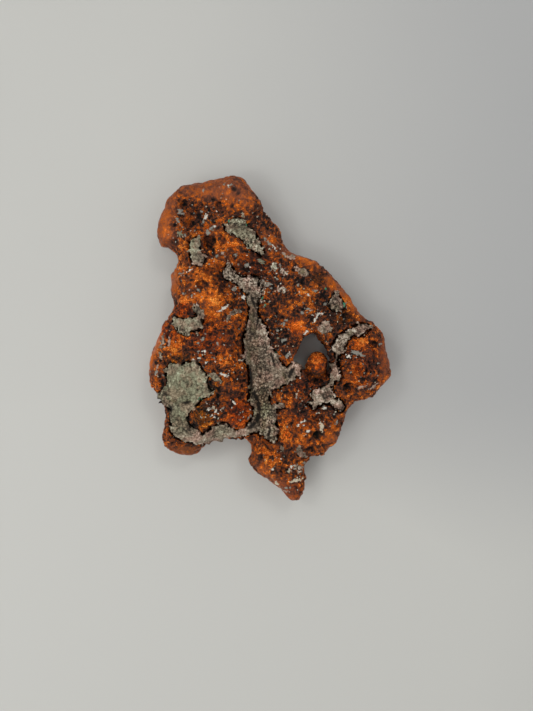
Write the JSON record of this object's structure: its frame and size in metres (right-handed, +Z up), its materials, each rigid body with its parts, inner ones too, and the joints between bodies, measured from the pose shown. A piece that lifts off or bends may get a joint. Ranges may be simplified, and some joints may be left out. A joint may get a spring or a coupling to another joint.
{
  "type": "native copper nugget",
  "caption": "Flat, lumpy nugget of native copper with a hole through it beside a round knob, and remains of host rock left in its hollows.",
  "frame": {"origin": "on the table, below the middle of the nugget's outline seen from above", "axes": "+Y towards the broad crown end, away from the narrow tip; +X to the right of the picture; +Z up, out of the face that the picture shows"},
  "size_m": [0.0659, 0.0883, 0.0145],
  "materials": {
    "copper": "native copper, brown with oxide in the hollows, rubbed bright orange on the high places",
    "rock_pink": "dull pinkish-grey host rock, grainy",
    "rock_green": "dull grey-green host rock, grainy"
  },
  "bodies": {
    "root": {"copper_nugget": "copper", "rock_seam": "rock_pink", "rock_vein": "rock_pink", "rock_patch_crown": "rock_green", "rock_patch_neck": "rock_green", "rock_patch_ring": "rock_green", "rock_patch_shoulder": "rock_pink"}
  },
  "joints": []
}
